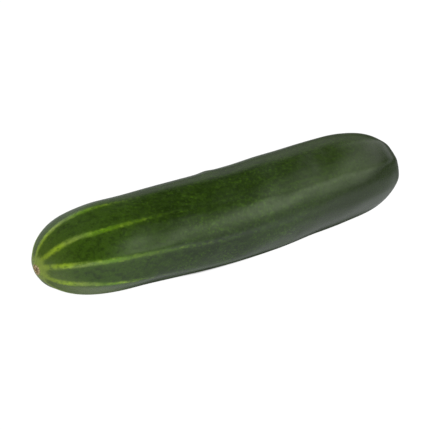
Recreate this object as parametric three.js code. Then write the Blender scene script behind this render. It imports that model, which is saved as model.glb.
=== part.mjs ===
// A slicing cucumber lying on its side: one grown fruit, so one closed solid.
// Millimetres, +Z up, +X from the blossom end to the stem end, and the origin on the
// surface that the fruit lies on, under the middle of its box.
//
// The skin is drawn ring by ring. A ring sits at a station along the fruit and a point on it
// has a turn about the length: 0 degrees faces +Y, 90 degrees faces up.

import * as THREE from "three";

// Driving dimensions, in millimetres and degrees.
const LENGTH = 225; // from the blossom scar to the stem scar
const THICKEST = 26; // the radius at the middle, which is what the fruit lies on
const FLAT_DEPTH = 0.8; // how far the belly is flattened where it lies
const ASKEW = { side: -10, top: -2.3 }; // the rings grew askew to the length by this much
const TWIST = 30; // turn of the ribs from one end of the fruit to the other

// The blunt taper of each end: how far it reaches, and how square its shoulder is.
const BLOSSOM_END = { reach: 46, shoulder: 2.3 };
const STEM_END = { reach: 95, shoulder: 6.1 };

// The blossom end droops a little and bends towards -Y over its last stretch.
const DROOP = { reach: 45, down: 3, aside: 2 };

// Radius of the body, and how far the fruit bows towards -Y, at shares of its half length.
const GIRTH = [[-1, 25], [-0.55, 25], [-0.2, THICKEST], [0.15, THICKEST], [0.55, 25.1], [1, 24.8]];
const BOW = [[-1, 0], [-0.5, 4.8], [0, 7.8], [0.5, 3.9], [1, 0]];

// Low ribs run from the blossom scar to the stem: the turn of each one at the blossom end,
// its half width in degrees, and the height of its crest at shares of the half length.
const RIB_TURNS = [79.5, 120.5, 162, 200.5, 237, 274, 313, 353, 36];
const RIB_SPREAD = 9.5;
const RIB_HEIGHT = [[-1, 0], [-0.92, 0.7], [-0.7, 0.7], [0, 0.35], [0.75, 0.4], [0.93, 0.5], [1, 0]];

// The section is faintly three-sided, like the three chambers of seed inside it.
const LOBES = { count: 3, height: 0.3, corner: 86 };

// Low warts: a seeded scatter over the body, and one on the upper back placed by hand.
const WARTS = { count: 22, reach: 0.84, height: 0.14, radius: 3.4 };
const BACK_WART = { station: -3, turn: 58, height: 0.5, radius: 3.6 };

// Where the flower fell off: a small pit inside a corky ring.
const BLOSSOM_SCAR = { radius: 2.7, ring: 0.35, width: 0.9, pit: 0.55 };

// Where the stem was cut: a stub that stands in a shallow dimple.
const STEM_SCAR = { dimple: 7, depth: 1.7, stub: 3.6, height: 1.3 };

// Fineness of the skin: points round a ring, rings along the fruit, and how much the rings
// crowd together at the two scars.
const POINTS_ROUND = 63;
const RINGS = 80;
const CROWDING = 0.2;

const SKIN_GREEN = 0x35491d;

const HALF = LENGTH / 2;
const AXIS_HEIGHT = THICKEST - FLAT_DEPTH;
const RAD = Math.PI / 180;

const limit = (value) => Math.min(1, Math.max(0, value));
const bell = (value) => Math.exp(-value * value);
const fraction = (value) => value - Math.floor(value);

// The shortest way round from one turn to another, in degrees from -180 to 180.
function turnBetween(from, to) {
  return fraction((to - from) / 360 + 0.5) * 360 - 180;
}

// A smooth curve through [share of the half length, value] points, read at a station.
// Each span is a cubic whose end slopes are those of the chord across its neighbours.
function through(points, station) {
  const share = station / HALF;
  const last = points.length - 1;
  const slope = (i) => {
    const before = points[Math.max(i - 1, 0)];
    const after = points[Math.min(i + 1, last)];
    return (after[1] - before[1]) / (after[0] - before[0]);
  };
  let i = 0;
  while (i < last - 1 && share > points[i + 1][0]) i += 1;
  const span = points[i + 1][0] - points[i][0];
  const t = limit((share - points[i][0]) / span);
  const rise = points[i + 1][1] - points[i][1];
  const bend = slope(i) * span * t * (1 - t) ** 2 - slope(i + 1) * span * t * t * (1 - t);
  return points[i][1] + rise * t * t * (3 - 2 * t) + bend;
}

// The share of the full radius that an end keeps at a distance from its tip.
function taper(distance, end) {
  return Math.sqrt(1 - (1 - limit(distance / end.reach)) ** end.shoulder);
}

function bodyRadius(station) {
  const ends = taper(station + HALF, BLOSSOM_END) * taper(HALF - station, STEM_END);
  return through(GIRTH, station) * ends;
}

// Crests and furrows of the ribs, level with the plain body on average.
function ribRelief(station, turn) {
  const turned = (TWIST * (station + HALF)) / LENGTH;
  const crests = RIB_TURNS.map((rib) => bell(turnBetween(rib + turned, turn) / RIB_SPREAD));
  const average = (RIB_TURNS.length * RIB_SPREAD * Math.sqrt(Math.PI)) / 360;
  const crest = crests.reduce((sum, value) => sum + value, 0);
  return through(RIB_HEIGHT, station) * (crest - average);
}

function lobeRelief(turn, radius) {
  const swell = Math.cos(LOBES.count * (turn - LOBES.corner) * RAD);
  return (LOBES.height * swell * radius) / THICKEST;
}

// The scatter steps by fractions of the golden and plastic ratios, so it never bunches up.
function scatterWarts() {
  return Array.from({ length: WARTS.count }, (_, i) => ({
    station: HALF * WARTS.reach * (2 * fraction((i + 1) * 0.618034) - 1),
    turn: 360 * fraction((i + 1) * 0.754878),
    height: WARTS.height * (0.6 + 0.8 * fraction((i + 1) * 0.56984)),
    radius: WARTS.radius * (0.8 + 0.5 * fraction((i + 1) * 0.324718)),
  }));
}

const warts = [...scatterWarts(), BACK_WART];

function wartRelief(station, turn, radius) {
  return warts.reduce((sum, wart) => {
    const round = turnBetween(wart.turn, turn) * RAD * radius;
    return sum + wart.height * bell(Math.hypot(station - wart.station, round) / wart.radius);
  }, 0);
}

// How far the skin at a scar stands out from the end, at a radius from the scar's centre.
function blossomScarRelief(radius) {
  const ring = BLOSSOM_SCAR.ring * bell((radius - BLOSSOM_SCAR.radius) / BLOSSOM_SCAR.width);
  return ring - BLOSSOM_SCAR.pit * bell((1.8 * radius) / BLOSSOM_SCAR.radius);
}

function stemScarRelief(radius) {
  const stub = STEM_SCAR.height * bell((radius / STEM_SCAR.stub) ** 4);
  return stub - STEM_SCAR.depth * bell(radius / STEM_SCAR.dimple);
}

// The point of the skin at a station along the fruit and a turn about it.
function skinPoint(station, turn) {
  const plain = bodyRadius(station);
  const relief = ribRelief(station, turn) + lobeRelief(turn, plain) + wartRelief(station, turn, plain);
  const radius = plain === 0 ? 0 : plain + relief;
  const scar = station < 0 ? -blossomScarRelief(plain) : stemScarRelief(plain);

  const droop = limit((DROOP.reach - HALF - station) / DROOP.reach) ** 2;
  const across = radius * Math.cos(turn * RAD);
  const upward = radius * Math.sin(turn * RAD);
  return new THREE.Vector3(
    station + scar + across * Math.sin(ASKEW.side * RAD) + upward * Math.sin(ASKEW.top * RAD),
    across * Math.cos(ASKEW.side * RAD) - through(BOW, station) - DROOP.aside * droop,
    Math.max(0, AXIS_HEIGHT + upward - DROOP.down * droop),
  );
}

// The station of a ring, from its polar angle on the sphere that the skin is drawn from.
function ringStation(polar) {
  return -HALF * Math.cos(polar - (CROWDING / 2) * Math.sin(2 * polar));
}

// A sphere with its poles at the two ends, each of whose points moves to its place on the skin.
function skinGeometry() {
  const geometry = new THREE.SphereGeometry(1, POINTS_ROUND, RINGS).rotateZ(Math.PI / 2);
  const points = geometry.getAttribute("position");
  const point = new THREE.Vector3();
  for (let i = 0; i < points.count; i += 1) {
    point.fromBufferAttribute(points, i);
    const station = ringStation(Math.acos(-point.x));
    const moved = skinPoint(station, Math.atan2(point.z, point.y) / RAD);
    points.setXYZ(i, moved.x, moved.y, moved.z);
  }
  geometry.computeBoundingBox();
  const middle = geometry.boundingBox.getCenter(new THREE.Vector3());
  geometry.translate(-middle.x, -middle.y, 0);
  geometry.computeVertexNormals();
  return geometry;
}

const skin = new THREE.MeshStandardMaterial({
  name: "cucumber skin",
  color: SKIN_GREEN,
  roughness: 0.4,
  metalness: 0,
});

const cucumber = new THREE.Mesh(skinGeometry(), skin);
cucumber.name = "cucumber";

const part = new THREE.Group();
part.name = "slicing cucumber";
part.add(cucumber);

export default part;
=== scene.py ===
"""A whole slicing cucumber lying on its side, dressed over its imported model.

The fruit is one grown body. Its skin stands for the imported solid: the same form, worked out
from the same sizes, with a far finer surface. Two small pieces finish its ends: the corky
remains of the flower and the dried cut of the stem. The fruit's sizes are in millimetres until
a mesh is written. Meshes and the studio are in metres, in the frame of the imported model.
"""

import logging
import math
from abc import ABC, abstractmethod
from dataclasses import dataclass, field
from enum import Enum
from typing import Any

import bmesh
import bpy
import numpy as np
from mathutils import Matrix, Vector


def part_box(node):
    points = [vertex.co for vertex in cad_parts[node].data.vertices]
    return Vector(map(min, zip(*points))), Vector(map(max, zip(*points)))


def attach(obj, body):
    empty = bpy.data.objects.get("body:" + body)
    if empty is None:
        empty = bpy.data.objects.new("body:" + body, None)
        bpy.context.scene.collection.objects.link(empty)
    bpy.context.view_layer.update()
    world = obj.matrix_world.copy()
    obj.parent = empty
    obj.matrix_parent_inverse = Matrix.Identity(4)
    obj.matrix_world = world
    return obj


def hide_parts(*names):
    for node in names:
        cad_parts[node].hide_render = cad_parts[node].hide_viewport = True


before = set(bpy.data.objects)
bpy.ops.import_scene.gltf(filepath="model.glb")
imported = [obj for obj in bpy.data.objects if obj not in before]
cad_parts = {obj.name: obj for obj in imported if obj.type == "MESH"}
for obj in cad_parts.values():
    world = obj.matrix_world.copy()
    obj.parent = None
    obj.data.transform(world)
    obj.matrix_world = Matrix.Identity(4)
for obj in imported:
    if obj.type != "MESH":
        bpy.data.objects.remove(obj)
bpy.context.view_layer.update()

NODE = "cucumber"
BODY = "root"

MM = 0.001  # metres in a millimetre
PER_METRE = 1000.0  # millimetres in a metre
PICTURE_PIXELS = 430.0  # how wide and how high the picture is
AT_POLE = 1e-6  # where the plain radius is less than this, the skin closes in a pole
SAME_PLACE = 1e-4  # points of a turned piece that are nearer each other than this are one

LOG = logging.getLogger("cucumber")

Curve = tuple[tuple[float, float], ...]
Values = np.ndarray


# --- Small mathematics of the form -----------------------------------------------------------


def bell(value: Values) -> Values:
    """A bump of height 1 that has fallen to 1/e at 1."""
    return np.exp(-value * value)


def fraction(value: Values) -> Values:
    """What is left of a number past the whole one below it."""
    return value - np.floor(value)


def turn_between(start: Values, end: Values) -> Values:
    """The shortest way round from one turn to another, in degrees from -180 to 180."""
    return fraction((end - start) / 360.0 + 0.5) * 360.0 - 180.0


def through(points: Curve, at: Values) -> Values:
    """A smooth curve through a few points, as steep at each as the chord between its neighbours.

    Args:
        points: pairs of a place and the value there, in order.
        at: the places to read the curve at.

    Returns:
        The curve's value at each place.
    """
    places, values = np.array(points, dtype=float).T
    before = np.maximum(np.arange(len(places)) - 1, 0)
    after = np.minimum(np.arange(len(places)) + 1, len(places) - 1)
    slopes = (values[after] - values[before]) / (places[after] - places[before])
    span = np.clip(np.searchsorted(places, at) - 1, 0, len(places) - 2)
    width = places[span + 1] - places[span]
    t = np.clip((at - places[span]) / width, 0.0, 1.0)
    rise = values[span + 1] - values[span]
    bend = slopes[span] * width * t * (1 - t) ** 2 - slopes[span + 1] * width * t * t * (1 - t)
    return values[span] + rise * t * t * (3 - 2 * t) + bend


# --- The form of the fruit -------------------------------------------------------------------


@dataclass(frozen=True)
class Taper:
    """The blunt taper of one end: how far it reaches, and how square its shoulder is."""

    reach: float
    shoulder: float

    def share(self, distance: Values) -> Values:
        """The share of the full radius that is left at a distance from the tip."""
        return np.sqrt(1 - (1 - np.clip(distance / self.reach, 0, 1)) ** self.shoulder)


@dataclass(frozen=True)
class Wart:
    """A low round wart: where it sits along and about the fruit, and its size."""

    station: float
    turn: float
    height: float
    radius: float


@dataclass(frozen=True)
class Rib:
    """A rib: its turn at the blossom end, and the pale stripe that grew over it.

    The stripe runs a length from the blossom end, and sways off the crest by a few degrees.
    """

    turn: float
    stripe: float
    sway: tuple[float, float, float, float]


class End(Enum):
    """The two ends of the fruit, by which way they point along it."""

    BLOSSOM = -1
    STEM = 1


@dataclass(frozen=True)
class Form:
    """The grown form of the fruit, in millimetres and degrees, as its solid has it.

    A ring sits at a station along the fruit, from minus half the length at the blossom scar.
    A point on a ring has a turn about the length: 0 faces +Y and 90 faces up.
    """

    length: float = 225.0
    thickest: float = 26.0

    # How deep the belly is flattened where the fruit lies on it.
    flat_depth: float = 0.8

    # The rings lean: their far side and their top lie nearer the blossom end.
    askew_side: float = -10.0
    askew_top: float = -2.3

    # How far the ribs wind about the fruit from end to end.
    twist: float = 30.0

    blossom_end: Taper = Taper(reach=46.0, shoulder=2.3)
    stem_end: Taper = Taper(reach=95.0, shoulder=6.1)

    # Over its reach the blossom end droops, and bends towards -Y.
    droop_reach: float = 45.0
    droop_down: float = 3.0
    droop_aside: float = 2.0

    # The body's radius and its bow towards -Y, at shares of the half length.
    girth: Curve = ((-1, 25), (-0.55, 25), (-0.2, 26), (0.15, 26), (0.55, 25.1), (1, 24.8))
    bow: Curve = ((-1, 0), (-0.5, 4.8), (0, 7.8), (0.5, 3.9), (1, 0))

    # Each rib's turn, the length of its stripe, and the stripe's sway at four places, which are
    # so many millimetres from the blossom end.
    ribs: tuple[Rib, ...] = (
        Rib(79.5, 62, (-4, 1, 4.7, 5)), Rib(120.5, 78, (0, -0.8, 2.5, -2)),
        Rib(162, 90, (-6, -0.6, 1.3, 1)), Rib(200.5, 60, (2, -3.5, -1.2, 0)),
        Rib(237, 34, (3, -1, 2, 0)), Rib(274, 52, (-3, 1, 0, 2)), Rib(313, 76, (0, 2, -1, 1)),
        Rib(353, 58, (4, -1, 2, 1)), Rib(36, 70, (-2, 2, -1, -2)),
    )
    sway_places: tuple[float, float, float, float] = (0.0, 15.0, 30.0, 60.0)

    # How far a crest spreads about the fruit, and its height at shares of the half length.
    rib_spread: float = 9.5
    rib_height: Curve = (
        (-1, 0), (-0.92, 0.7), (-0.7, 0.7), (0, 0.35), (0.75, 0.4), (0.93, 0.5), (1, 0),
    )

    # The section is faintly three-sided, with a corner near the top.
    lobe_count: int = 3
    lobe_height: float = 0.3
    lobe_corner: float = 86.0

    # The scatter of warts steps by fractions of the golden and plastic ratios, so it never
    # bunches up: along the fruit, about it, and in the warts' heights and radii. It covers a
    # share of the half length, and the warts vary about their height and radius.
    wart_count: int = 22
    wart_steps: tuple[float, float, float, float] = (0.618034, 0.754878, 0.56984, 0.324718)
    wart_reach: float = 0.84
    wart_height: float = 0.14
    height_range: tuple[float, float] = (0.6, 1.4)
    wart_radius: float = 3.4
    radius_range: tuple[float, float] = (0.8, 1.3)
    back_wart: Wart = Wart(station=-3.0, turn=58.0, height=0.5, radius=3.6)

    # The pit of the blossom scar in its corky ring, and the stub of the stem in its dimple.
    scar_radius: float = 2.7
    scar_ring: float = 0.35
    scar_width: float = 0.9
    pit_radius: float = 1.5
    pit_depth: float = 0.55
    dimple_radius: float = 7.0
    dimple_depth: float = 1.7
    stub_radius: float = 3.6
    stub_height: float = 1.3

    @property
    def half(self) -> float:
        """Half the length."""
        return self.length / 2

    def plain_radius(self, station: Values) -> Values:
        """The radius of the body without its relief."""
        ends = self.blossom_end.share(station + self.half) * self.stem_end.share(self.half - station)
        return through(self.girth, station / self.half) * ends

    def twisted(self, station: Values) -> Values:
        """How far the ribs have wound about the fruit at a station."""
        return self.twist * (station + self.half) / self.length

    def stripe_turn(self, rib: Rib, station: Values) -> Values:
        """The turn of a rib's pale stripe at a station: it sways a little off the crest."""
        sway = through(tuple(zip(self.sway_places, rib.sway)), station + self.half)
        return rib.turn + self.twisted(station) + sway

    def rib_relief(self, station: Values, turn: Values) -> Values:
        """Crests and furrows of the ribs, level with the plain body on average.

        Args:
            station: the stations of the points.
            turn: the turns of the points.

        Returns:
            The height at each point.
        """
        wound = self.twisted(station)
        crest = sum(bell(turn_between(rib.turn + wound, turn) / self.rib_spread) for rib in self.ribs)
        average = len(self.ribs) * self.rib_spread * math.sqrt(math.pi) / 360
        return through(self.rib_height, station / self.half) * (crest - average)

    def lobe_relief(self, turn: Values, radius: Values) -> Values:
        """The faintly three-sided section that the seed chambers give the fruit."""
        swell = np.cos(self.lobe_count * np.radians(turn - self.lobe_corner))
        return self.lobe_height * swell * radius / self.thickest

    def warts(self) -> list[Wart]:
        """The scatter of low warts, by the same rule as the solid's, and the one on the back.

        Returns:
            The warts.
        """
        count = np.arange(1, self.wart_count + 1)
        along, about, tall, broad = (fraction(count * step) for step in self.wart_steps)
        stations = self.half * self.wart_reach * (2 * along - 1)
        heights = self.wart_height * np.interp(tall, (0, 1), self.height_range)
        radii = self.wart_radius * np.interp(broad, (0, 1), self.radius_range)
        return [Wart(*values) for values in zip(stations, 360 * about, heights, radii)] + [self.back_wart]

    def wart_relief(self, warts: list[Wart], station: Values, turn: Values, radius: Values) -> Values:
        """How far a list of warts raises the skin.

        Args:
            warts: the warts to raise.
            station: the stations of the points.
            turn: the turns of the points.
            radius: the plain radius at the points.

        Returns:
            The height at each point.
        """
        relief = np.zeros_like(radius)
        for wart in warts:
            round_skin = np.radians(turn_between(wart.turn, turn)) * radius
            relief += wart.height * bell(np.hypot(station - wart.station, round_skin) / wart.radius)
        return relief

    def scar_relief(self, station: Values, radius: Values) -> Values:
        """How far a scar moves the skin along +X: the blossom pit and ring, or the stem's dimple.

        Args:
            station: the stations of the points.
            radius: the plain radius at the points.

        Returns:
            The move of each point.
        """
        ring = self.scar_ring * bell((radius - self.scar_radius) / self.scar_width)
        blossom = ring - self.pit_depth * bell(radius / self.pit_radius)
        stub = self.stub_height * bell((radius / self.stub_radius) ** 4)
        stem = stub - self.dimple_depth * bell(radius / self.dimple_radius)
        return np.where(station < 0, -blossom, stem)

    def place(self, station: Values, turn: Values, radius: Values, along: Values) -> Values:
        """The points of rings, from their stations, turns and radii.

        Args:
            station: the stations of the rings.
            turn: the turns of the points, in degrees.
            radius: how far each point is from the middle of its ring.
            along: how far each point is moved along +X.

        Returns:
            One row of X, Y and Z for each point.
        """
        droop = np.clip((self.droop_reach - self.half - station) / self.droop_reach, 0, 1) ** 2
        across = radius * np.cos(np.radians(turn))
        upward = radius * np.sin(np.radians(turn))
        side, top = math.radians(self.askew_side), math.radians(self.askew_top)
        x = station + along + across * math.sin(side) + upward * math.sin(top)
        y = across * math.cos(side) - through(self.bow, station / self.half) - self.droop_aside * droop
        z = self.thickest - self.flat_depth + upward - self.droop_down * droop
        return np.stack([x, y, z], axis=-1)

    def scar_frame(self, end: End, shift: Vector) -> Matrix:
        """The place of a scar: its origin on the end of the fruit and its Z pointing out.

        Args:
            end: which end.
            shift: how far the finished fruit is moved from the place that the form gives it.

        Returns:
            A matrix in millimetres.
        """
        tip = np.full(4, end.value * self.half)
        turns = np.array([0.0, 90.0, 180.0, 270.0])
        rim = self.place(tip, turns, np.ones(4), np.zeros(4))
        right, up = Vector(rim[0] - rim[2]).normalized(), Vector(rim[1] - rim[3]).normalized()
        outward = (right.cross(up) * end.value).normalized()
        across = up.cross(outward).normalized()
        turned = Matrix((across, outward.cross(across), outward)).transposed().to_4x4()
        centre = Vector(self.place(tip[:1], turns[:1], np.zeros(1), np.zeros(1))[0])
        return Matrix.Translation(centre + shift) @ turned


# --- Materials -------------------------------------------------------------------------------


Tree = bpy.types.NodeTree
Socket = bpy.types.NodeSocket
Feed = Socket | float | str | tuple[float, ...]

# Where a share begins, where it is full, and how great it is there.
Fade = tuple[float, float, float]

# The numbers of the inputs and outputs that the Mix node has for colours and for plain values.
SHARE, UNDER, OVER, MIXED = 0, 6, 7, 2
FROM, TO = 2, 3

# Nearly all values of a cloudy pattern lie between these.
CLOUD_LOW, CLOUD_HIGH = 0.3, 0.7


def linear(colour: str) -> tuple[float, float, float, float]:
    """Turn an sRGB colour to linear.

    Args:
        colour: a hex value such as #27390F.

    Returns:
        Its linear red, green and blue, and an alpha of 1.
    """
    shares = [int(colour[i:i + 2], 16) / 255 for i in (1, 3, 5)]
    parts = [s / 12.92 if s <= 0.04045 else ((s + 0.055) / 1.055) ** 2.4 for s in shares]
    return (*parts, 1.0)


def add_node(
    tree: Tree, kind: str, feeds: dict[str | int, Feed], out: str | int = 0, **settings: Any
) -> Socket:
    """Add a shader node with its settings and what feeds its inputs.

    Args:
        tree: the node tree.
        kind: the node's type, without the ShaderNode before it.
        feeds: a socket to link, a value or an sRGB hex colour, by the name or number of its input.
        out: the name or number of the output to hand back.
        settings: the node's properties.

    Returns:
        The output's socket.
    """
    made = tree.nodes.new("ShaderNode" + kind)
    for name, value in settings.items():
        setattr(made, name, value)
    for name, feed in feeds.items():
        if isinstance(feed, Socket):
            tree.links.new(feed, made.inputs[name])
        else:
            made.inputs[name].default_value = linear(feed) if isinstance(feed, str) else feed
    return made.outputs[out] if made.outputs else None


def new_material(name: str) -> tuple[bpy.types.Material, Tree, bpy.types.Node]:
    """Start a material with an empty tree and a Principled shader on its output.

    Args:
        name: the material's name.

    Returns:
        The material, its tree and the shader.
    """
    material = bpy.data.materials.new(name)
    material.use_nodes = True
    tree = material.node_tree
    tree.nodes.clear()
    surface = add_node(tree, "BsdfPrincipled", {})
    add_node(tree, "OutputMaterial", {"Surface": surface})
    return material, tree, surface.node


def uneven(tree: Tree, value: Socket, pattern: Socket, reach: float) -> Socket:
    """A value made uneven by a pattern that runs from 0 to 1, and level with it on average.

    Args:
        tree: the node tree.
        value: the value.
        pattern: the pattern.
        reach: what the whole range of the pattern adds.

    Returns:
        The uneven value's socket.
    """
    added = add_node(tree, "Math", {0: pattern, 1: reach, 2: -reach / 2}, operation="MULTIPLY_ADD")
    return add_node(tree, "Math", {0: value, 1: added}, operation="ADD")


@dataclass(frozen=True)
class Clouds:
    """A cloudy pattern.

    Its clouds have a size in millimetres and a number of finer layers, each so much weaker than
    the one before, and they are so many times longer along the fruit.
    """

    size: float
    layers: float = 2.0
    stretch: float = 1.0
    weaker: float = 0.55

    def pattern(self, tree: Tree, place: Socket) -> Socket:
        """Add the pattern.

        Args:
            tree: the node tree.
            place: the place on the surface, in millimetres.

        Returns:
            The socket of its value, from 0 to 1.
        """
        shrink = (1 / (self.size * self.stretch), 1 / self.size, 1 / self.size)
        scaled = add_node(tree, "Mapping", {"Vector": place, "Scale": shrink})
        noise = {"Vector": scaled, "Scale": 1.0, "Detail": self.layers, "Roughness": self.weaker}
        return add_node(tree, "TexNoise", noise)


@dataclass(frozen=True)
class Wash:
    """A colour laid over another: none where some value is at the start, most where it is full."""

    colour: str
    start: float
    full: float
    most: float = 1.0

    def over(self, tree: Tree, under: Feed, value: Socket) -> Socket:
        """Lay the colour over another.

        Args:
            tree: the node tree.
            under: the colour below.
            value: the value that decides.

        Returns:
            The mixed colour's socket.
        """
        span = {"Value": value, "From Min": self.start, "From Max": self.full, "To Max": self.most}
        share = add_node(tree, "MapRange", span, interpolation_type="SMOOTHSTEP")
        mix = {SHARE: share, UNDER: under, OVER: self.colour}
        return add_node(tree, "Mix", mix, MIXED, data_type="RGBA")


@dataclass(frozen=True)
class WaxySkin:
    """The rind of a slicing cucumber: thin, dark green and waxy, washed and lightly waxed.

    A wash goes by the distance in millimetres along the fruit or from a scar, or by the value
    of a cloudy pattern.
    """

    dark: str = "#1D2E05"
    light: str = "#3A5410"
    cork: str = "#B59F76"

    # The dark green of the rind gives way to a fresher one in slow patches.
    fresh: Wash = Wash("#253907", start=CLOUD_LOW, full=CLOUD_HIGH)
    patches: Clouds = Clouds(14.0, layers=2.0, stretch=2.5)

    # Chlorophyll lies in grains of about a millimetre, drawn out along the fruit.
    mottling: tuple[tuple[Wash, Clouds], ...] = (
        (Wash(light, start=0.42, full=0.68, most=0.45), Clouds(2.0, layers=3.0, stretch=2.5)),
        (Wash(dark, start=0.52, full=0.36, most=0.55), Clouds(2.6, layers=3.0, stretch=1.6)),
        (Wash(dark, start=0.5, full=0.32, most=0.5), Clouds(1.4, layers=3.0, stretch=1.2)),
    )
    grains: Clouds = Clouds(1.2, layers=3.0, stretch=1.1)
    grain_patches: Clouds = Clouds(11.0, layers=1.0, stretch=1.5)
    grain_unevenness: float = 0.3
    grain_light: Wash = Wash(light, start=0.5, full=0.72, most=0.7)
    grain_pale: Wash = Wash("#4E7212", start=0.6, full=0.8, most=0.35)

    # The fruit is lighter towards the blossom, and a more even green towards the stem.
    young: Wash = Wash("#405C10", start=75.0, full=5.0, most=0.85)
    stem: Wash = Wash("#2B3B07", start=110.0, full=205.0, most=0.5)

    # Towards the stem the belly and the front are darker: painted shade. By the blossom end the belly
    # lay on the ground and is bleached, and it is painted paler still: a painted reflection of the
    # table.
    stem_lean: tuple[float, float, float] = (0.5, -0.8, -0.6)
    # Painted shade: the belly and the front towards the stem, darker.
    stem_painted_shade: Wash = Wash("#1E2A0A", start=22.0, full=44.0, most=0.7)
    tip_lean: tuple[float, float, float] = (-0.5, 0.0, -1.0)
    # A bleached ground spot on the belly, painted paler still as a reflection of the bright table.
    tip_bleach_and_reflection: Wash = Wash("#7E8F4C", start=50.0, full=60.0, most=0.45)

    # A stripe narrows from one half width to the other between two shares of its length. Its
    # edges are ragged by some millimetres, and it breaks up over an uneven share of its length.
    stripe_half_wide: float = 1.3
    stripe_half_thin: float = 0.8
    stripe_taper: tuple[float, float] = (0.1, 0.8)
    stripe_edge: Clouds = Clouds(1.1, layers=3.0, stretch=2.0)
    stripe_breaks: Clouds = Clouds(1.5, layers=3.0, stretch=1.8)
    stripe_raggedness: float = 1.6
    stripe_brokenness: float = 1.6

    # A stripe and the halo beside it fade with shares of the half width across them, and with
    # shares of the stripe's length along them.
    stripe_across: Fade = (1.7, 0.2, 1.0)
    stripe_along: Fade = (1.0, 0.5, 1.0)
    halo_across: Fade = (3.6, 0.5, 0.4)
    halo_along: Fade = (1.0, 0.2, 1.0)
    halo: str = "#44600F"

    # The paint of a stripe at distances from the blossom end, and the flecks in it.
    stripe_paints: tuple[tuple[float, str], ...] = (
        (0.0, "#BAD43E"), (9.0, "#A8C82E"), (12.0, "#8DA440"), (19.0, "#748D3A"), (24.0, "#6C8F20"),
        (30.0, "#628A06"), (40.0, "#587608"), (60.0, "#456209"),
    )
    flecks: Clouds = Clouds(2.4, layers=3.0, stretch=2.0)
    fleck_dark: Wash = Wash("#4A6A10", start=0.5, full=0.32, most=0.65)
    fleck_pale: Wash = Wash("#BCD84E", start=0.54, full=0.76, most=0.45)

    # Pale skin and then cork lie round each scar, with an edge that wanders by some millimetres.
    scar_edge: Clouds = Clouds(1.6, layers=3.0)
    scar_wander: float = 3.0
    round_blossom: tuple[Wash, ...] = (
        Wash("#6E8638", start=21.0, full=8.0, most=0.5), Wash("#A6BC50", start=9.0, full=5.0, most=0.85),
        Wash(cork, start=3.3, full=2.4),
    )
    round_stem: tuple[Wash, ...] = (
        Wash("#5E6E3C", start=9.0, full=4.0, most=0.7), Wash(cork, start=4.3, full=3.5),
    )

    # Plant wax: an IOR a little over 1.4, and satin, so that it mirrors a room as soft bands.
    ior: float = 1.42
    smoothest: float = 0.23
    roughest: float = 0.31
    smears: Clouds = Clouds(2.5, layers=3.0)

    # The faint grain of the rind breaks the edges of the bands that the wax mirrors.
    relief_coarse: Clouds = Clouds(3.0, layers=1.0, stretch=1.5)
    relief_fine: Clouds = Clouds(1.1)
    relief_depth: float = 0.026

    def material(self) -> bpy.types.Material:
        """Build the material.

        Returns:
            The finished material.
        """
        material, tree, shader = new_material("waxy_cucumber_skin")
        place = add_node(tree, "Attribute", {}, "Vector", attribute_name="straightened")
        along = add_node(tree, "Attribute", {}, "Fac", attribute_name="from_blossom")
        colour = self.rind(tree, place, along)
        colour = self.stripes(tree, place, along, colour)
        colour = self.ends(tree, place, colour)
        tree.links.new(colour, shader.inputs["Base Color"])

        shader.inputs["IOR"].default_value = self.ior
        smear = {
            "Value": self.smears.pattern(tree, place), "From Min": CLOUD_LOW, "From Max": CLOUD_HIGH,
            "To Min": self.smoothest, "To Max": self.roughest,
        }
        tree.links.new(add_node(tree, "MapRange", smear), shader.inputs["Roughness"])

        coarse, fine = self.relief_coarse.pattern(tree, place), self.relief_fine.pattern(tree, place)
        height = add_node(tree, "Math", {0: coarse, 1: fine}, operation="ADD")
        bump = {"Height": height, "Strength": 1.0, "Distance": self.relief_depth * MM}
        tree.links.new(add_node(tree, "Bump", bump), shader.inputs["Normal"])
        return material

    def rind(self, tree: Tree, place: Socket, along: Socket) -> Socket:
        """The mottled green of the rind.

        Args:
            tree: the node tree.
            place: the place on the straightened fruit.
            along: how far it is from the blossom end.

        Returns:
            The colour's socket.
        """
        colour = self.fresh.over(tree, self.dark, self.patches.pattern(tree, place))
        colour = self.young.over(tree, colour, along)
        for wash, mottle in self.mottling:
            colour = wash.over(tree, colour, mottle.pattern(tree, place))
        grain = uneven(
            tree, self.grains.pattern(tree, place), self.grain_patches.pattern(tree, place),
            self.grain_unevenness,
        )
        colour = self.grain_light.over(tree, colour, grain)
        colour = self.grain_pale.over(tree, colour, grain)
        colour = self.stem.over(tree, colour, along)
        # Painted shade on the belly and front towards the stem, and a bleached belly by the blossom end that
        # is painted paler as a reflection of the table.
        for belly, lean in ((self.stem_painted_shade, self.stem_lean), (self.tip_bleach_and_reflection, self.tip_lean)):
            leaning = add_node(tree, "VectorMath", {0: place, 1: lean}, "Value", operation="DOT_PRODUCT")
            colour = belly.over(tree, colour, leaning)
        return colour

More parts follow.
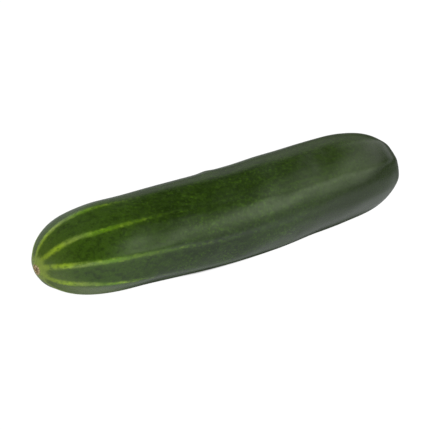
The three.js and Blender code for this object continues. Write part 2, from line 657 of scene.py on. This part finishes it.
    def stripes(self, tree: Tree, place: Socket, along: Socket, under: Feed) -> Socket:
        """The pale stripes that run up the ribs and break into flecks where they fade.

        Args:
            tree: the node tree.
            place: the place on the straightened fruit.
            along: how far it is from the blossom end.
            under: the colour below.

        Returns:
            The colour's socket.
        """
        reach, gap = (
            add_node(tree, "Attribute", {}, "Fac", attribute_name=name)
            for name in ("stripe_reach", "rib_gap")
        )
        share = add_node(tree, "Math", {0: along, 1: reach}, operation="DIVIDE")
        taper = {
            "Value": share, "From Min": self.stripe_taper[0], "From Max": self.stripe_taper[1],
            "To Min": self.stripe_half_wide, "To Max": self.stripe_half_thin,
        }
        half = add_node(tree, "MapRange", taper)
        ragged = uneven(tree, gap, self.stripe_edge.pattern(tree, place), self.stripe_raggedness)
        across = add_node(tree, "Math", {0: ragged, 1: half}, operation="DIVIDE")
        broken = uneven(tree, share, self.stripe_breaks.pattern(tree, place), self.stripe_brokenness)
        stripe, whole, halo, near = (
            add_node(
                tree, "MapRange", {"Value": value, "From Min": start, "From Max": full, "To Max": most},
                interpolation_type="SMOOTHSTEP",
            )
            for value, (start, full, most) in (
                (across, self.stripe_across), (broken, self.stripe_along),
                (across, self.halo_across), (share, self.halo_along),
            )
        )
        colour = under
        for part, length, paint in (
            (halo, near, self.halo), (stripe, whole, self.stripe_paint(tree, place, along)),
        ):
            shown = add_node(tree, "Math", {0: part, 1: length}, operation="MULTIPLY")
            mix = {SHARE: shown, UNDER: colour, OVER: paint}
            colour = add_node(tree, "Mix", mix, MIXED, data_type="RGBA")
        return colour

    def stripe_paint(self, tree: Tree, place: Socket, along: Socket) -> Socket:
        """The colour along a stripe: milky near the scar, then yellower and greener.

        Args:
            tree: the node tree.
            place: the place on the straightened fruit.
            along: how far it is from the blossom end.

        Returns:
            The colour's socket.
        """
        reach = self.stripe_paints[-1][0]
        share = add_node(tree, "Math", {0: along, 1: reach}, operation="DIVIDE")
        paint = add_node(tree, "ValToRGB", {"Fac": share})
        ramp = paint.node.color_ramp
        for distance, _ in self.stripe_paints[1:-1]:
            ramp.elements.new(distance / reach)
        for stop, (_, colour) in zip(ramp.elements, self.stripe_paints):
            stop.color = linear(colour)
        fleck = self.flecks.pattern(tree, place)
        return self.fleck_pale.over(tree, self.fleck_dark.over(tree, paint, fleck), fleck)

    def ends(self, tree: Tree, place: Socket, under: Feed) -> Socket:
        """The pale skin and cork round the two scars.

        Args:
            tree: the node tree.
            place: the place on the straightened fruit.
            under: the colour below.

        Returns:
            The colour's socket.
        """
        edge = self.scar_edge.pattern(tree, place)
        colour = under
        for name, washes in (
            ("from_blossom_scar", self.round_blossom), ("from_stem_scar", self.round_stem),
        ):
            distance = add_node(tree, "Attribute", {}, "Fac", attribute_name=name)
            ragged = uneven(tree, distance, edge, self.scar_wander)
            for wash in washes:
                colour = wash.over(tree, colour, ragged)
        return colour


@dataclass(frozen=True)
class DriedPlant:
    """Dead plant tissue, dried and corky, with an IOR of about 1.45.

    Its fibres scatter light every way, so it looks matt, and brown where they lie open. Its
    blotches have the size of its grain in millimetres, and its heart reaches some millimetres.
    """

    name: str
    pale: str
    dark: str
    heart: str
    heart_reach: float
    grain: float
    grain_depth: float = 0.12
    roughness: float = 0.85
    ior: float = 1.45

    def material(self) -> bpy.types.Material:
        """Build the material.

        Returns:
            The finished material.
        """
        material, tree, shader = new_material(self.name)
        here = add_node(tree, "TexCoord", {}, "Object")
        place = add_node(tree, "Mapping", {"Vector": here, "Scale": (PER_METRE,) * 3})
        blotches = Clouds(self.grain, layers=4.0).pattern(tree, place)
        pits = Clouds(self.grain / 3, layers=1.0).pattern(tree, place)
        colour = Wash(self.pale, start=0.36, full=0.56).over(tree, self.dark, blotches)
        colour = Wash(self.dark, start=0.6, full=0.72, most=0.7).over(tree, colour, pits)

        # The heart of a scar dried first, and has its own colour.
        inward = add_node(tree, "Attribute", {}, "Fac", attribute_name="from_axis")
        ragged = uneven(tree, inward, blotches, self.heart_reach)
        heart = Wash(self.heart, start=self.heart_reach, full=self.heart_reach / 2, most=0.9)
        tree.links.new(heart.over(tree, colour, ragged), shader.inputs["Base Color"])
        shader.inputs["Roughness"].default_value = self.roughness
        shader.inputs["IOR"].default_value = self.ior
        fibres = Clouds(self.grain / 2, layers=3.0).pattern(tree, place)
        bump = {"Height": fibres, "Strength": 1.0, "Distance": self.grain_depth * MM}
        tree.links.new(add_node(tree, "Bump", bump), shader.inputs["Normal"])
        return material


# --- Meshes ----------------------------------------------------------------------------------


def finish_piece(name: str, bm: bmesh.types.BMesh, material: bpy.types.Material) -> bpy.types.Object:
    """Turn a bmesh in metres into a smooth object with its finish, at the origin.

    Args:
        name: the piece's name.
        bm: its mesh, which is freed.
        material: its finish.

    Returns:
        The object.
    """
    mesh = bpy.data.meshes.new(name)
    bm.to_mesh(mesh)
    bm.free()
    mesh.shade_smooth()
    mesh.materials.append(material)
    piece = bpy.data.objects.new(name, mesh)
    bpy.context.scene.collection.objects.link(piece)
    return piece


@dataclass
class Skin:
    """The whole skin of the fruit, drawn as one closed surface that stands for the solid."""

    form: Form
    finish: WaxySkin = WaxySkin()

    # The mesh has its rings crowded by a share towards the two ends.
    points_round: int = 300
    rings: int = 312
    crowding: float = 0.2

    # The pimples cover a share of the half length, and vary about their height and radius.
    pimple_count: int = 260
    pimple_reach: float = 0.9
    pimple_height: float = 0.03
    height_range: tuple[float, float] = (0.5, 1.4)
    pimple_radius: float = 1.1
    radius_range: tuple[float, float] = (0.7, 1.3)

    # Each wave has its number of crests round the fruit, and a length along it in this range.
    wave_height: float = 0.05
    wave_crests: tuple[int, ...] = (2, 4, 5, 7, 11)
    wave_lengths: tuple[float, float] = (18.0, 60.0)

    # The stripes fan out from a point that is a little above and behind the blossom scar.
    fan_shift: tuple[float, float] = (1.0, 1.0)
    fan_reach: float = 12.0

    seed: int = 11
    shift: Vector = field(default_factory=Vector)

    def pimples(self) -> list[Wart]:
        """Fine pimples, each the base of a spine that was rubbed off, scattered by a seeded draw.

        Returns:
            The pimples, each a tiny wart.
        """
        draw = np.random.default_rng(self.seed)
        stations = draw.uniform(-self.pimple_reach, self.pimple_reach, self.pimple_count) * self.form.half
        turns = draw.uniform(0.0, 360.0, self.pimple_count)
        heights = self.pimple_height * draw.uniform(*self.height_range, self.pimple_count)
        radii = self.pimple_radius * draw.uniform(*self.radius_range, self.pimple_count)
        return [Wart(*values) for values in zip(stations, turns, heights, radii)]

    def waves(self, station: Values, turn: Values) -> Values:
        """Slow unevenness of the skin, a sum of a few seeded waves that close round the fruit.

        Args:
            station: the stations of the points.
            turn: the turns of the points.

        Returns:
            The height at each point.
        """
        draw = np.random.default_rng(self.seed + 1)
        relief = np.zeros_like(station)
        for crests in self.wave_crests:
            length, phase = draw.uniform(*self.wave_lengths), draw.uniform(0.0, 2 * math.pi)
            relief += np.cos(station * 2 * math.pi / length + np.radians(turn) * crests + phase)
        return self.wave_height * relief

    def surface(self, station: Values, turn: Values, plain: Values) -> Values:
        """The points of the finished skin, where the form puts them.

        Args:
            station: the stations of the points.
            turn: the turns of the points.
            plain: the plain radius at the points.

        Returns:
            One row of X, Y and Z for each point.
        """
        form = self.form
        relief = (
            form.rib_relief(station, turn)
            + form.lobe_relief(turn, plain)
            + form.wart_relief(form.warts(), station, turn, plain)
            + form.wart_relief(self.pimples(), station, turn, plain)
            + self.waves(station, turn) * plain / form.thickest
        )
        radius = np.where(plain < AT_POLE, 0.0, plain + relief)
        points = form.place(station, turn, radius, form.scar_relief(station, plain))
        points[:, 2] = np.maximum(points[:, 2], 0.0)
        return points

    def build(self) -> bpy.types.Object:
        """Make the skin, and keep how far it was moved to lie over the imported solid.

        Returns:
            The skin.
        """
        bm = bmesh.new()
        to_blossom = Matrix.Rotation(math.radians(-90), 4, "Y")
        bmesh.ops.create_uvsphere(
            bm, u_segments=self.points_round, v_segments=self.rings, radius=1.0, matrix=to_blossom
        )
        ball = np.array([vert.co for vert in bm.verts])
        polar = np.arctan2(np.hypot(ball[:, 1], ball[:, 2]), -ball[:, 0])
        turn = np.degrees(np.arctan2(ball[:, 2], ball[:, 1]))
        station = -self.form.half * np.cos(polar - self.crowding / 2 * np.sin(2 * polar))
        plain = self.form.plain_radius(station)
        points = self.surface(station, turn, plain)
        self.shift = self.over_solid(points)
        for vert, point in zip(bm.verts, (points + np.array(self.shift)) * MM):
            vert.co = point
        piece = finish_piece("cucumber_skin", bm, self.finish.material())
        self.mark(piece, station, turn, plain)
        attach(piece, BODY)
        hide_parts(NODE)
        return piece

    def over_solid(self, points: Values) -> Vector:
        """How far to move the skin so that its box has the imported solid's middle.

        Args:
            points: the points of the skin.

        Returns:
            The move, which is level.
        """
        low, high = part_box(NODE)
        middle = (Vector(low) + Vector(high)) / 2 * PER_METRE
        own = Vector((points.min(axis=0) + points.max(axis=0)) / 2)
        return Vector((middle.x - own.x, middle.y - own.y, 0.0))

    def mark(self, piece: bpy.types.Object, station: Values, turn: Values, plain: Values) -> None:
        """Write the attributes that the finish reads, all in millimetres.

        Args:
            piece: the skin.
            station: the station of each of its points.
            turn: the turn of each point.
            plain: the plain radius at each point.
        """
        form = self.form
        share = bell(plain / self.fan_reach)
        across = plain * np.cos(np.radians(turn)) - self.fan_shift[0] * share
        upward = plain * np.sin(np.radians(turn)) - self.fan_shift[1] * share
        fanned = np.where(station < 0, np.degrees(np.arctan2(upward, across)), turn)
        gaps = np.stack([
            np.abs(np.radians(turn_between(form.stripe_turn(rib, station), fanned))) * plain
            for rib in form.ribs
        ])
        marks = {
            "rib_gap": gaps.min(axis=0),
            "stripe_reach": np.array([rib.stripe for rib in form.ribs])[gaps.argmin(axis=0)],
            "from_blossom": station + form.half,
            "from_blossom_scar": np.where(station < 0, plain, form.thickest),
            "from_stem_scar": np.where(station > 0, plain, form.thickest),
        }
        for name, values in marks.items():
            made = piece.data.attributes.new(name, "FLOAT", "POINT")
            made.data.foreach_set("value", values.astype(np.float32))
        angle = np.radians(turn - form.twisted(station))
        straight = np.stack([station, plain * np.cos(angle), plain * np.sin(angle)], axis=-1)
        made = piece.data.attributes.new("straightened", "FLOAT_VECTOR", "POINT")
        made.data.foreach_set("vector", straight.astype(np.float32).ravel())


def turned_piece(profile: Curve, steps: int) -> bmesh.types.BMesh:
    """Turn a profile about Z into one closed body.

    Args:
        profile: radius and height in millimetres, from the axis on top to the axis below.
        steps: how many steps the full turn has.

    Returns:
        The body, in millimetres.
    """
    bm = bmesh.new()
    verts = [bm.verts.new((radius, 0.0, height)) for radius, height in profile]
    edges = [bm.edges.new(pair) for pair in zip(verts, verts[1:])]
    bmesh.ops.spin(
        bm, geom=verts + edges, cent=(0, 0, 0), axis=(0, 0, 1), angle=2 * math.pi, steps=steps, use_merge=True
    )
    bmesh.ops.remove_doubles(bm, verts=bm.verts, dist=SAME_PLACE)
    bmesh.ops.recalc_face_normals(bm, faces=bm.faces)
    return bm


@dataclass
class EndPiece(ABC):
    """A small turned piece on one end of the fruit, which grew or dried out of round.

    Its profile has radii and heights in millimetres, from the axis on top to the axis below. It
    is turned in a number of steps, and its corners are rounded by a share.
    """

    form: Form
    end: End
    name: str
    finish: DriedPlant
    profile: Curve
    steps: int
    rounding: float

    @abstractmethod
    def grow(self, bm: bmesh.types.BMesh) -> None:
        """Move the points of the turned piece, in millimetres, to where they grew or dried."""

    def build(self, shift: Vector) -> bpy.types.Object:
        """Make the piece on its end of the fruit.

        Args:
            shift: how far the finished fruit is moved from the place that the form gives it.

        Returns:
            The piece.
        """
        bm = turned_piece(self.profile, self.steps)
        bmesh.ops.subdivide_edges(bm, edges=bm.edges, cuts=1, use_grid_fill=True, smooth=self.rounding)
        from_axis = bm.verts.layers.float.new("from_axis")
        for vert in bm.verts:
            vert[from_axis] = math.hypot(vert.co.x, vert.co.y)
        self.grow(bm)
        bm.transform(Matrix.Scale(MM, 4) @ self.form.scar_frame(self.end, shift))
        piece = finish_piece(self.name, bm, self.finish.material())
        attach(piece, BODY)
        return piece


@dataclass
class BlossomScar(EndPiece):
    """The corky remains of the flower: a ragged collar round the dry base of the style."""

    end: End = End.BLOSSOM
    name: str = "blossom_scar"
    finish: DriedPlant = DriedPlant(
        "dried_blossom_cork", pale="#EAD6A8", dark="#A08258", heart="#55391F", heart_reach=0.8, grain=0.9
    )
    profile: Curve = (
        (0.0, 0.0), (0.3, -0.05), (0.6, -0.2), (0.9, -0.35), (1.25, -0.2), (1.6, 0.15),
        (1.95, 0.42), (2.3, 0.42), (2.6, 0.2), (2.75, -0.15), (2.4, -0.6), (1.3, -0.9), (0.0, -1.0),
    )
    steps: int = 72
    rounding: float = 0.5

    # Each wave round the collar pushes it out and lifts it by some millimetres. The crests of
    # the lift lag by an angle, in radians for each millimetre from the axis.
    ragged_crests: tuple[int, ...] = (3, 5, 8, 13, 21)
    ragged_out: float = 0.16
    ragged_up: float = 0.08
    ragged_lag: float = 2.0
    seed: int = 5

    def grow(self, bm: bmesh.types.BMesh) -> None:
        """Make the collar ragged, out and up, by a sum of seeded waves round it.

        Args:
            bm: the turned collar, in millimetres.
        """
        draw = np.random.default_rng(self.seed)
        waves = [(crests, *draw.uniform(0, 2 * math.pi, 2)) for crests in self.ragged_crests]
        for vert in bm.verts:
            angle, radius = math.atan2(vert.co.y, vert.co.x), math.hypot(vert.co.x, vert.co.y)
            lag = self.ragged_lag * radius
            push = sum(math.cos(crests * angle + phase) for crests, phase, _ in waves)
            lift = sum(math.cos(crests * angle + phase + lag) for crests, _, phase in waves)
            share = min(1.0, radius / self.form.scar_radius)
            vert.co.xy *= 1 + push * self.ragged_out * share / self.form.scar_radius
            vert.co.z += lift * self.ragged_up * share


@dataclass
class CutStem(EndPiece):
    """The short stub of the stem, cut flush: five-sided, with a dry pith inside a ring of fibres."""

    end: End = End.STEM
    name: str = "cut_stem"
    finish: DriedPlant = DriedPlant(
        "dried_cut_stem", pale="#A9A06C", dark="#6B6238", heart="#C9C195", heart_reach=1.3, grain=0.7
    )
    profile: Curve = (
        (0.0, 0.2), (0.9, 0.24), (1.4, 0.38), (1.9, 0.62), (2.4, 0.66), (2.8, 0.58), (3.1, 0.5),
        (3.3, 0.25), (3.35, -0.4), (3.2, -1.1), (2.2, -1.4), (0.0, -1.5),
    )
    steps: int = 80
    rounding: float = 0.3
    sides: int = 5
    side_depth: float = 0.16

    # The fibres stand up in a ring of this radius and width.
    fibres: int = 10
    fibre_height: float = 0.12
    fibre_ring: float = 2.1
    fibre_width: float = 0.5

    def grow(self, bm: bmesh.types.BMesh) -> None:
        """Give the stub its sides, and raise the ring of fibres on its cut face.

        Args:
            bm: the turned stub, in millimetres.
        """
        for vert in bm.verts:
            angle, radius = math.atan2(vert.co.y, vert.co.x), math.hypot(vert.co.x, vert.co.y)
            share = min(1.0, radius / self.form.stub_radius)
            vert.co.xy *= 1 + self.side_depth * share * math.cos(self.sides * angle) / self.form.stub_radius
            if vert.co.z > 0:
                on_ring = math.exp(-(((radius - self.fibre_ring) / self.fibre_width) ** 2))
                vert.co.z += self.fibre_height * on_ring * math.cos(self.fibres * angle)


# --- The studio ------------------------------------------------------------------------------


def direction(azimuth: float, elevation: float) -> Vector:
    """A unit vector: azimuth in degrees from -Y towards +X, elevation above the floor."""
    side, rise = math.radians(azimuth), math.radians(elevation)
    return Vector((math.sin(side) * math.cos(rise), -math.cos(side) * math.cos(rise), math.sin(rise)))


def aimed(place: Vector, target: Vector) -> Matrix:
    """The place of a camera or light that looks at a target."""
    turned = (target - place).to_track_quat("-Z", "Y")
    return Matrix.Translation(place) @ turned.to_matrix().to_4x4()


class Tint(Enum):
    """The colours of the studio's light."""

    WARM = "#EFFFDD"
    COOL = "#F7F8FF"
    PLAIN = "#FFFFFF"


@dataclass(frozen=True)
class Panel:
    """A flat soft light that faces the fruit and that the wax doesn't mirror.

    Its middle is seen from the fruit at an azimuth and elevation in degrees, and it covers some
    degrees each way. The radiance is in units of white paper, and the distance in metres.
    """

    name: str
    azimuth: float
    elevation: float
    wide: float
    tall: float
    radiance: float
    distance: float = 0.9

    def build(self, target: Vector) -> None:
        """Add the panel.

        Args:
            target: the point that it faces, in metres.
        """
        lamp = bpy.data.lights.new(self.name, "AREA")
        lamp.shape = "RECTANGLE"
        lamp.size = 2 * self.distance * math.tan(math.radians(self.wide / 2))
        lamp.size_y = 2 * self.distance * math.tan(math.radians(self.tall / 2))
        lamp.energy = self.radiance * math.pi * lamp.size * lamp.size_y
        made = bpy.data.objects.new(self.name, lamp)
        made.matrix_world = aimed(target + direction(self.azimuth, self.elevation) * self.distance, target)
        made.visible_camera = False
        made.visible_glossy = False
        bpy.context.scene.collection.objects.link(made)


@dataclass(frozen=True)
class Glow:
    """A soft-edged patch of light on the walls of the room.

    Its middle lies at an azimuth and elevation in degrees, and it reaches some degrees each way.
    The radiance is in units of white paper. The core is the share of its reach that is even.
    """

    azimuth: float
    elevation: float
    across: float
    upright: float
    radiance: float
    tint: Tint = Tint.WARM
    core: float = 0.2

    def added(self, tree: Tree, light: Feed, azimuth: Socket, elevation: Socket) -> Socket:
        """Add the patch to the room's light.

        Args:
            tree: the node tree.
            light: the light without the patch.
            azimuth: the azimuth of a place on the walls, in radians.
            elevation: its elevation, in radians.

        Returns:
            The socket of the light with the patch.
        """
        aside = add_node(tree, "Math", {0: azimuth, 1: math.radians(self.azimuth)}, operation="SUBTRACT")
        aside = add_node(tree, "Math", {0: aside, 1: math.pi, 2: -math.pi}, operation="WRAP")
        above = add_node(tree, "Math", {0: elevation, 1: math.radians(self.elevation)}, operation="SUBTRACT")
        offset = add_node(tree, "CombineXYZ", {"X": aside, "Y": above})
        shrink = (1 / math.radians(self.across), 1 / math.radians(self.upright), 1.0)
        scaled = add_node(tree, "Mapping", {"Vector": offset, "Scale": shrink})
        off_middle = add_node(tree, "VectorMath", {0: scaled}, "Value", operation="LENGTH")
        span = {"Value": off_middle, "From Min": 1.0, "From Max": self.core}
        share = add_node(tree, "MapRange", span, interpolation_type="SMOOTHSTEP")
        glow = tuple(self.radiance * part for part in linear(self.tint.value))
        mix = {SHARE: share, UNDER: light, OVER: glow}
        return add_node(tree, "Mix", mix, MIXED, data_type="RGBA", blend_type="ADD")


@dataclass(frozen=True)
class Room:
    """The dim room round the light table: what the wax mirrors above the table."""

    glows: tuple[Glow, ...] = (
        # Bright walls in front and to the right: the long band that the flank mirrors.
        Glow(6.0, 17.0, 20.0, 20.0, 1.15),
        Glow(22.0, 18.0, 18.0, 13.0, 2.5, core=0.4),
        Glow(40.0, 17.0, 18.0, 13.0, 3.2, core=0.4),
        Glow(58.0, 20.0, 20.0, 14.0, 1.1, core=0.4),
        # The foot of those walls, down to the table and on round to the right.
        Glow(20.0, 3.0, 26.0, 12.0, 0.24, Tint.COOL),
        Glow(45.0, 1.0, 24.0, 12.0, 0.95, Tint.COOL),
        Glow(75.0, 2.0, 32.0, 16.0, 0.95, Tint.COOL),
        Glow(108.0, 4.0, 30.0, 16.0, 0.6, Tint.COOL),
        Glow(116.0, 16.0, 32.0, 20.0, 0.6, Tint.PLAIN),
        # Higher up to the right.
        Glow(32.0, 34.0, 22.0, 14.0, 0.14),
        Glow(56.0, 36.0, 24.0, 16.0, 2.0),
        Glow(82.0, 36.0, 26.0, 18.0, 1.25, Tint.PLAIN),
        Glow(110.0, 34.0, 30.0, 22.0, 1.15, Tint.PLAIN),
        Glow(65.0, 52.0, 23.0, 13.0, 0.95),
        Glow(98.0, 52.0, 30.0, 14.0, 0.16, Tint.PLAIN),
        # The walls behind, which the far edge of the fruit mirrors.
        Glow(162.0, 26.0, 40.0, 38.0, 0.45, Tint.PLAIN),
        Glow(-165.0, 28.0, 36.0, 38.0, 1.1),
        Glow(-125.0, 45.0, 36.0, 40.0, 0.2),
        Glow(-150.0, 70.0, 60.0, 24.0, 0.12),
        # Faint light in front and to the left.
        Glow(-50.0, 18.0, 44.0, 30.0, 0.1),
        Glow(-8.0, 38.0, 30.0, 18.0, 0.06),
    )
    dim: str = "#1C1C1C"

    def build(self) -> None:
        """Make the room the world. The camera sees it white, as it does the table."""
        world = bpy.data.worlds.new("soft_room")
        world.use_nodes = True
        tree = world.node_tree
        tree.nodes.clear()
        here = add_node(tree, "TexCoord", {}, "Generated")
        across, away, up = add_node(tree, "SeparateXYZ", {0: here}).node.outputs
        towards = add_node(tree, "Math", {0: away, 1: -1.0}, operation="MULTIPLY")
        azimuth = add_node(tree, "Math", {0: across, 1: towards}, operation="ARCTAN2")
        elevation = add_node(tree, "Math", {0: up}, operation="ARCSINE")
        light = self.dim
        for glow in self.glows:
            light = glow.added(tree, light, azimuth, elevation)
        seen = add_node(tree, "LightPath", {}, "Is Camera Ray")
        mix = {SHARE: seen, UNDER: light, OVER: Tint.PLAIN.value}
        light = add_node(tree, "Mix", mix, MIXED, data_type="RGBA")
        add_node(tree, "OutputWorld", {"Surface": add_node(tree, "Background", {"Color": light})})
        bpy.context.scene.world = world


@dataclass(frozen=True)
class Zone:
    """A part of the light table that the wax mirrors at a brightness of its own.

    It begins at one place and is full at another, in metres along some direction.
    """

    start: float
    full: float
    brightness: float

    def over(self, tree: Tree, under: Feed, place: Socket) -> Socket:
        """Lay the zone over the brightness of the rest.

        Args:
            tree: the node tree.
            under: the brightness of the rest.
            place: the place along the zone's direction.

        Returns:
            The brightness's socket.
        """
        span = {"Value": place, "From Min": self.start, "From Max": self.full}
        share = add_node(tree, "MapRange", span, interpolation_type="SMOOTHSTEP")
        return add_node(tree, "Mix", {0: share, FROM: under, TO: self.brightness})


@dataclass(frozen=True)
class LightTable:
    """The light table that the fruit lies on, with a top of matt opal plastic.

    The camera sees it white, with a thin painted contact shadow where the fruit touches it. The wax
    mirrors it shaded under the fruit, and brighter or dimmer from zone to zone. Its sizes are in metres.
    """

    reach: float = 3.0
    depth: float = 0.05 * MM
    colour: str = "#3C3C3C"
    roughness: float = 0.9
    # How far the painted contact shadow reaches.
    contact_reach: float = 0.0011

    # The shade under the fruit is deeper towards the stem end.
    shade_reach: float = 0.009
    shade_lean: float = 2.2
    shade_dark: float = 0.3
    shade_clear: float = 0.68
    shade_samples: int = 8

    # How bright the table is near the fruit, and in the zones in front of it, askew to its
    # right, past its stem end and behind it.
    near: float = 0.78
    front: Zone = Zone(-0.05, -0.12, 1.5)
    beside: Zone = Zone(-0.05, 0.12, 1.06)
    past: Zone = Zone(0.21, 0.28, 0.45)
    behind: Zone = Zone(-0.024, 0.004, 0.3)

    # The edge of the zone past the stem end turns outwards beyond this distance in front.
    corner: float = 0.1
    corner_slope: float = 0.9

    def build(self) -> None:
        """Add the table."""
        bm = bmesh.new()
        bmesh.ops.create_grid(bm, x_segments=1, y_segments=1, size=self.reach)
        bmesh.ops.translate(bm, verts=bm.verts, vec=(0, 0, -self.depth))
        material, tree, shader = new_material("white_light_table")
        here = add_node(tree, "TexCoord", {}, "Object")
        right, away, _ = add_node(tree, "SeparateXYZ", {0: here}).node.outputs
        contact_shadow, shade = (
            add_node(tree, "AmbientOcclusion", {"Distance": reach}, "AO", samples=self.shade_samples)
            for reach in (self.contact_reach, self.shade_reach)
        )
        lean = add_node(tree, "Math", {0: right, 1: -self.shade_lean, 2: shade}, operation="MULTIPLY_ADD")
        span = {"Value": lean, "From Min": self.shade_dark, "From Max": self.shade_clear}
        clear = add_node(tree, "MapRange", span, interpolation_type="SMOOTHSTEP")
        strength = add_node(tree, "Math", {0: clear, 1: self.glow(tree, right, away)}, operation="MULTIPLY")
        # The camera sees the glow with the painted contact shadow; the wax sees it with the painted shade
        # under the fruit.
        seen = add_node(tree, "LightPath", {}, "Is Camera Ray")
        strength = add_node(tree, "Mix", {0: seen, FROM: strength, TO: contact_shadow})
        mix = {SHARE: seen, UNDER: Tint.COOL.value, OVER: Tint.PLAIN.value}
        tint = add_node(tree, "Mix", mix, MIXED, data_type="RGBA")
        tree.links.new(strength, shader.inputs["Emission Strength"])
        tree.links.new(tint, shader.inputs["Emission Color"])
        shader.inputs["Base Color"].default_value = linear(self.colour)
        shader.inputs["Roughness"].default_value = self.roughness
        finish_piece("light_table", bm, material)

    def glow(self, tree: Tree, right: Socket, away: Socket) -> Socket:
        """How bright the wax mirrors each place of the table.

        Args:
            tree: the node tree.
            right: the place along X, in metres.
            away: the place along Y, in metres.

        Returns:
            The brightness's socket.
        """
        askew = add_node(tree, "Math", {0: right, 1: away}, operation="ADD")
        beyond = add_node(tree, "Math", {0: away, 1: self.corner}, operation="ADD")
        beyond = add_node(tree, "Math", {0: beyond, 1: 0.0}, operation="MINIMUM")
        past = add_node(tree, "Math", {0: beyond, 1: self.corner_slope, 2: right}, operation="MULTIPLY_ADD")
        glow = self.front.over(tree, self.near, away)
        glow = self.beside.over(tree, glow, askew)
        glow = self.past.over(tree, glow, past)
        return self.behind.over(tree, glow, away)


@dataclass
class Studio:
    """A light table in a dim room, two panels that fill in, and the camera.

    The panels and the camera face the target, where a millimetre covers a number of pixels. It
    stands some pixels to the right of the picture's middle, and some above it.
    """

    target: Vector = field(default_factory=lambda: Vector((0.0, 0.0, 0.026)))
    table: LightTable = LightTable()
    room: Room = Room()
    panels: tuple[Panel, ...] = (
        Panel("fill_overhead", -40.0, 72.0, 60.0, 60.0, radiance=1.3),
        Panel("fill_behind", 175.0, 45.0, 50.0, 50.0, radiance=1.3),
    )
    camera_azimuth: float = -30.32
    camera_elevation: float = 30.0
    camera_distance: float = 1.0
    pixels_per_mm: float = 1.829
    sensor: float = 36.0
    pixels_right: float = 11.1
    pixels_up: float = 2.3

    def build(self) -> None:
        """Add the table, the room, the panels and the camera."""
        self.table.build()
        self.room.build()
        for panel in self.panels:
            panel.build(self.target)
        self.build_camera()

    def build_camera(self) -> None:
        """A long lens that looks down on the fruit, its frame moved a little off the target."""
        camera = bpy.data.cameras.new("camera")
        camera.sensor_width = self.sensor
        camera.lens = self.sensor * self.pixels_per_mm * self.camera_distance * PER_METRE / PICTURE_PIXELS
        camera.shift_x = -self.pixels_right / PICTURE_PIXELS
        camera.shift_y = -self.pixels_up / PICTURE_PIXELS
        made = bpy.data.objects.new("camera", camera)
        place = self.target + direction(self.camera_azimuth, self.camera_elevation) * self.camera_distance
        made.matrix_world = aimed(place, self.target)
        bpy.context.scene.collection.objects.link(made)
        bpy.context.scene.camera = made
        bpy.context.scene.view_settings.view_transform = "Standard"


def main() -> None:
    """Build the studio, then each piece of the fruit."""
    logging.basicConfig(level=logging.INFO, format="%(message)s")
    Studio().build()
    form = Form()
    skin = Skin(form)
    pieces = [skin.build()]
    pieces += [end_piece(form).build(skin.shift) for end_piece in (BlossomScar, CutStem)]
    for piece in pieces:
        LOG.info("made %s with %d faces", piece.name, len(piece.data.polygons))


if __name__ == "__main__":
    main()
